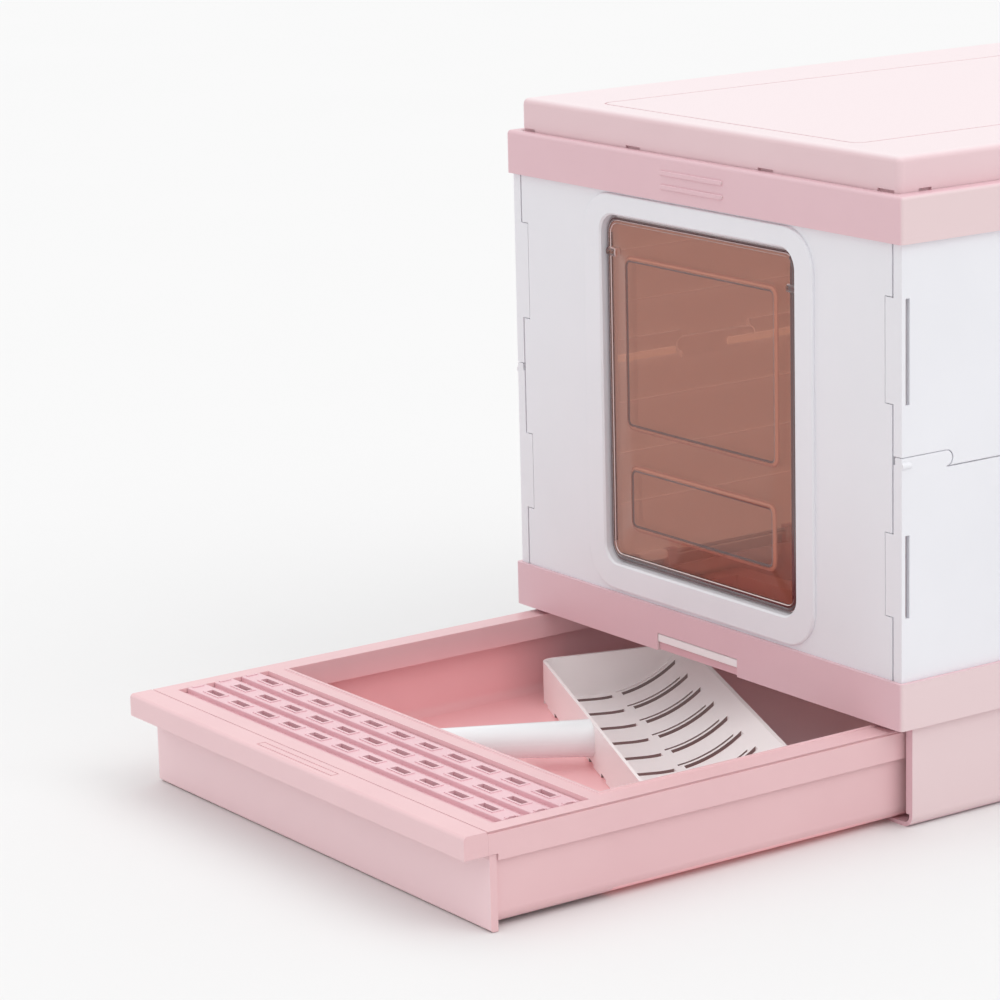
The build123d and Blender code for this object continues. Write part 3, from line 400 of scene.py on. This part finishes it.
def flap_edge(place):
    """1 along the plate's rim, wider at its foot and at its right side: where painted shade goes."""
    x, z = place.along("X"), place.along("Z")
    middle = (flap_low + flap_high) / 2
    past_x = place.sum("MAXIMUM", x.size() - (flap_half - flap_corner), 0.0)
    past_z = place.sum("MAXIMUM", (z - middle).size() - (flap_high - middle - flap_corner), 0.0)
    out_from_corner = place.sum("SQRT", past_x * past_x + past_z * past_z, 0.0)
    rim = out_from_corner.above(flap_corner - dark_rim)
    foot = z.below(flap_low + dark_foot)
    right = x.above(flap_half - dark_right)
    return place.sum("MAXIMUM", place.sum("MAXIMUM", rim, right), foot)


# Facing levels where the painted highlights and the painted shade begin.
steep_facing, gentle_facing = 0.80, 0.985
smoke_index = 1.58


def smoky_plastic(name):
    """Clear brown plastic with painted highlights on steep slopes and painted shade on gentle ones and its
    edges.
    """
    material, tone, place = new_material(name)
    real_normal = tone.node("ShaderNodeNewGeometry", out="True Normal")
    own_normal = tone.node(
        "ShaderNodeVectorTransform",
        {"vector_type": "NORMAL", "convert_from": "WORLD", "convert_to": "OBJECT"},
        {"Vector": real_normal},
    )
    forward = own_normal.along("Y").size()
    steep = ((steep_facing - forward) * 6.0).kept()
    gentle = ((gentle_facing - forward) * 12.0).kept() * (1.0 - steep)
    edge = flap_edge(place)
    haze = noise(place, 22.0, 4.0)
    brown = blend(haze, shown(206, 146, 124), shown(194, 134, 116))
    # Painted highlight on steep slopes, painted shade on gentle slopes and along the edges.
    with_painted_highlight = blend(steep, brown, shown(240, 218, 216))
    with_painted_shade = blend(tone.sum("MAXIMUM", gentle, edge), with_painted_highlight, shown(84, 34, 34))
    skin = tone.node(
        "ShaderNodeBsdfPrincipled", {},
        {"Base Color": with_painted_shade, "Roughness": haze * 0.06 + 0.07, "IOR": smoke_index},
    )
    through = tone.node("ShaderNodeBsdfTransparent", {}, {"Color": (0.85, 0.58, 0.48, 1.0)})
    solid = (haze * 0.08 + 0.12 + steep * 0.80 + gentle * 0.65 + edge * 0.85).kept()
    body = tone.node("ShaderNodeMixShader", {}, {0: solid, 1: through, 2: skin})
    glance = tone.node("ShaderNodeLayerWeight", {}, {"Blend": 0.5}, out="Facing")
    gloss = glance * glance * glance * glance * 0.9 + 0.04
    mirror = tone.node("ShaderNodeBsdfGlossy", {}, {"Roughness": 0.06})
    finish_surface(tone.node("ShaderNodeMixShader", {}, {0: gloss, 1: body, 2: mirror}))
    return material


flap_tint = smoky_plastic("flap_smoky_plastic")
flap = finished(flap_mesh, "flap_plate", flap_tint, "flap", 0.15)
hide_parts("cat_flap")

# The beads are pale: a painted highlight round the fields' ridges.
bead_highlight_paint = moulded("flap_bead_painted_highlight", (206, 178, 182), (196, 166, 168), 0.14)
finished(bead_mesh, "flap_beads", bead_highlight_paint, "flap")

boss_mesh = bmesh.new()
for side in (-1, 1):
    boss_middle = Matrix.Translation((side * (flap_half - boss_inset), pivot_y, pivot_z))
    bmesh.ops.create_cone(
        boss_mesh, cap_ends=True, segments=28, radius1=boss_radius, radius2=boss_radius,
        depth=boss_length, matrix=boss_middle @ Matrix.Rotation(math.pi / 2, 4, "Y"),
    )
finished(boss_mesh, "flap_pivot_bosses", flap_tint, "flap", 0.5, 50)


# Latches: small sliding catches in the notches of the lower band, each in one
# piece with a white thumb bar that is pushed down.

thumb_bar_foot = 70.65 * mm


def latch_plastic(name):
    """White on the thumb bar and pink on the face below it, in one satin plastic."""
    material, tone, place = new_material(name)
    fine = noise(place, skin_lumps, 2.0)
    bar = place.along("Z").above(thumb_bar_foot)
    finish_surface(tone.node(
        "ShaderNodeBsdfPrincipled", {},
        {
            "Base Color": blend(bar, shown(222, 178, 186), shown(249, 243, 244)),
            "Roughness": fine * 0.10 + 0.25, "Normal": eroded_skin(fine, 0.05), "IOR": plastic_index,
        },
    ))
    return material


dress(["front_latch", "rear_latch"], latch_plastic("latch_plastic"), 0.2)


# Lid: one pale pink moulding with a groove round its top, which lifts on
# barrels and pins along the rear edge.


# Mask for the painted light on surfaces that look up.
def faces_up(place):
    """1 where the surface looks up."""
    return ((facing(place, "Z") - 0.5) * 2.0).kept()


# The lid's upward faces are painted paler: painted light from overhead.
lid_blush = moulded(
    "lid_blush_plastic", (233, 204, 208), (229, 198, 203), 0.30, painted_light=(faces_up, (233, 215, 218)),
)
dress(["lid"], lid_blush, 0.4)


# Drawer: the tray for the litter and the rim that snaps on it, two mouldings
# in the tub's pink. A painted glow low down inside the tray stands in for light
# coming through its thin walls and floor, and the front plate is painted paler,
# as painted light.

tray_inner_half = 182.6 * mm
tray_mouth_y = -456.0 * mm
tray_floor_z = 2.0 * mm
glow_start_z, glow_fall = 58.0 * mm, 26.0 * mm
tub_shade_y, tub_shade_fall = -220.0 * mm, 60.0 * mm
lip_foot_z = 44.0 * mm


def tray_depth(place):
    """Share of painted glow: 0 at the rim, outside the tray and under the cabinet, rising to 1 low down
    inside it.
    """
    x, y, z = place.along("X"), place.along("Y"), place.along("Z")
    within = x.size().below(tray_inner_half) * y.above(tray_mouth_y) * z.above(tray_floor_z)
    down = ((glow_start_z - z) * (1 / glow_fall)).kept()
    out_of_tub = ((tub_shade_y - y) * (1 / tub_shade_fall)).kept()
    return within * down * out_of_tub


def drawer_face(place):
    """Share of painted light: 1 on the front plate below the grip lip, about a half on the lip's own
    front.
    """
    forward = ((facing(place, "Y") * -1.0 - 0.4) * 2.0).kept()
    return forward * (1.0 - place.along("Z").above(lip_foot_z) * 0.55)


# Painted glow low down inside the tray, and painted light that makes the front plate paler.
tray_pink = moulded(
    "tray_pink_plastic", (232, 192, 195), (226, 184, 188), 0.34,
    inside=(tray_depth, (0.13, 0.030, 0.030, 1.0)), painted_light=(drawer_face, (249, 217, 221)),
)
dress(["litter_tray", "tray_rim"], tray_pink, 0.35)


# Step grate: the slotted insert behind the lip that cleans the cat's paws. One
# pink moulding, dropped into the rim and lifted out by hand.

grate_pink = moulded("grate_pink_plastic", (234, 194, 201), (227, 184, 192), 0.34)
dress(["step_grate"], grate_pink, 0.25)


# Scoop: a grey white sieve with a round white handle, two mouldings pushed
# together. It lies askew in the tray, so its slots run askew too.

scoop_turn = math.radians(-23.7)
scoop_way = (math.cos(scoop_turn), math.sin(scoop_turn), 0.0)
scoop_start = -157.7 * mm * scoop_way[0] - 261.3 * mm * scoop_way[1]
scoop_length = 302.0 * mm
scoop_end_wall = 7.0 * mm


def sieve_plastic(name):
    """White plastic with a faint painted glow all over and painted deep shade on its slot walls."""
    material, tone, place = new_material(name)
    normal = tone.node("ShaderNodeTexCoord", out="Normal")
    dot = {"operation": "DOT_PRODUCT"}
    reach = tone.node("ShaderNodeVectorMath", dot, {0: place, 1: scoop_way}, out="Value") - scoop_start
    looks = tone.node("ShaderNodeVectorMath", dot, {0: normal, 1: scoop_way}, out="Value").size()
    between = (reach - scoop_length / 2).size().below(scoop_length / 2 - scoop_end_wall)
    painted_slot_shade = ((looks - 0.45) * 3.0).kept() * between
    fine = noise(place, skin_lumps, 2.0)
    white = blend(noise(place, flow_lumps, 3.0), shown(246, 240, 240), shown(240, 232, 232))
    # The slot walls' dark colour is painted shade, and the faint emission is a painted glow.
    finish_surface(tone.node(
        "ShaderNodeBsdfPrincipled", {},
        {
            "Base Color": blend(painted_slot_shade, white, shown(104, 66, 64)), "Roughness": fine * 0.10 + 0.27,
            "Normal": eroded_skin(fine, 0.05), "IOR": plastic_index,
            "Emission Color": (1.0, 0.94, 0.93, 1.0), "Emission Strength": 0.06,
        },
    ))
    return material


scoop_white = moulded("scoop_white_plastic", (245, 249, 251), (242, 246, 248), 0.30)
dress(["scoop_basket"], sieve_plastic("scoop_sieve_plastic"), 0.3)
dress(["scoop_handle"], scoop_white, 0)


# Studio: a wide pale floor that runs out of the picture, an even white dome
# and one broad soft lamp from the upper right, so that sides stay readable.

floor_radius = 30.0
sky_level, sky_rise = 0.66, 0.80
gloss_level, gloss_rise = 0.94, 1.30
backdrop_level = 0.94
white_paper = (1.0, 1.0, 1.0, 1.0)
lamp_way = Vector((0.8, 0.40, 0.80))

floor_mesh = bmesh.new()
bmesh.ops.create_circle(floor_mesh, cap_ends=True, segments=64, radius=floor_radius)
floor_data = bpy.data.meshes.new("floor")
floor_mesh.to_mesh(floor_data)
floor_mesh.free()
floor = bpy.data.objects.new("floor", floor_data)
bpy.context.scene.collection.objects.link(floor)

floor_paper, floor_tone, floor_place = new_material("floor_paper")
paper = blend(noise(floor_place, 3.0, 2.0), (0.83, 0.83, 0.83, 1.0), (0.82, 0.82, 0.82, 1.0))
finish_surface(floor_tone.node("ShaderNodeBsdfDiffuse", {}, {"Color": paper}))
floor_data.materials.append(floor_paper)

world = bpy.data.worlds.new("studio")
bpy.context.scene.world = world
world.use_nodes = True
world.node_tree.nodes.clear()
sky = Tone(world.node_tree)
height = sky.node("ShaderNodeTexCoord", out="Generated").along("Z")
overhead = height * height
path = sky.node("ShaderNodeLightPath").socket.node.outputs
seen_straight = Tone(sky.tree, path["Is Camera Ray"]) + Tone(sky.tree, path["Is Transmission Ray"])
seen_in_gloss = Tone(sky.tree, path["Is Glossy Ray"])


def paper_light(strength):
    """The white of the dome at some strength."""
    return sky.node("ShaderNodeBackground", {}, {"Color": white_paper, "Strength": strength})


dome = paper_light(overhead * sky_rise + sky_level)
sheen = paper_light(overhead * gloss_rise + gloss_level)
backdrop = paper_light(backdrop_level)
lighting = sky.node("ShaderNodeMixShader", {}, {0: seen_in_gloss, 1: dome, 2: sheen})
seen = sky.node("ShaderNodeMixShader", {}, {0: seen_straight, 1: lighting, 2: backdrop})
sky.node("ShaderNodeOutputWorld", {}, {"Surface": seen})

lamp_data = bpy.data.lights.new("side_lamp", "SUN")
lamp_data.energy = 0.45
lamp_data.angle = math.radians(35)
lamp = bpy.data.objects.new("side_lamp", lamp_data)
bpy.context.scene.collection.objects.link(lamp)
lamp.rotation_euler = lamp_way.to_track_quat("Z", "Y").to_euler()

bpy.context.scene.view_settings.view_transform = "Standard"
